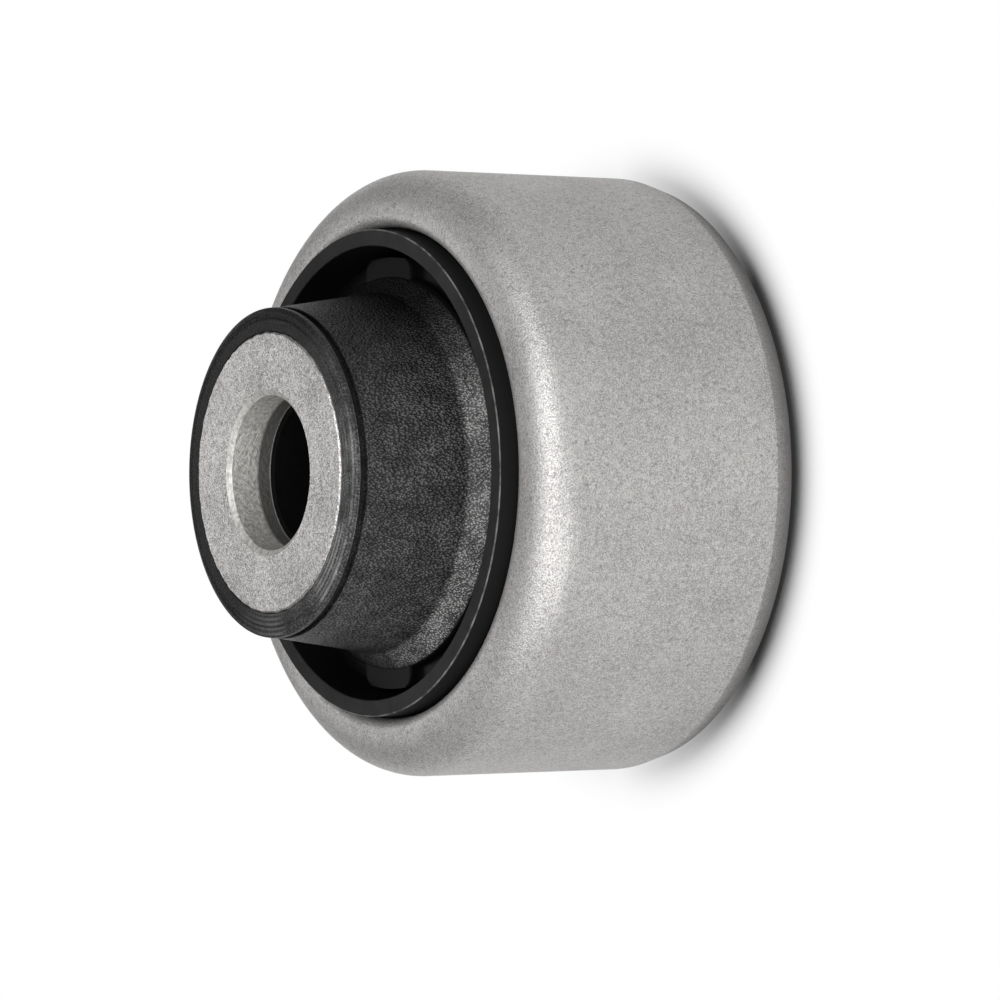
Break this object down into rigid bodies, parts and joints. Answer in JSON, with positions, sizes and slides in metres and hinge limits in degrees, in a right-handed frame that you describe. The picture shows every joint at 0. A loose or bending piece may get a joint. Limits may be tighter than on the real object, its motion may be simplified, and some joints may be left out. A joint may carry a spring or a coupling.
{
  "type": "rubber metal bush",
  "caption": "Round bonded bush: a light metal shell with one rolled end, a black cage ring, and a rubber covered hub with a stepped bore standing out of it.",
  "frame": {"origin": "on the bush's axis, in the plane of the rear rim that it stands on", "axes": "+Z along the axis from the rear rim to the hub face; +X through one of the two stop lugs"},
  "size_m": [0.062, 0.062, 0.043],
  "materials": {
    "shell_alloy": "blasted, matt light grey",
    "black_cage": "smooth black with fine handling marks",
    "black_rubber": "moulded, orange-peel grain",
    "core_alloy": "blasted, matt light grey"
  },
  "bodies": {
    "root": {"outer_shell": "shell_alloy", "support_sleeve": "black_cage", "rubber_body": "black_rubber", "inner_core": "core_alloy"}
  },
  "joints": []
}
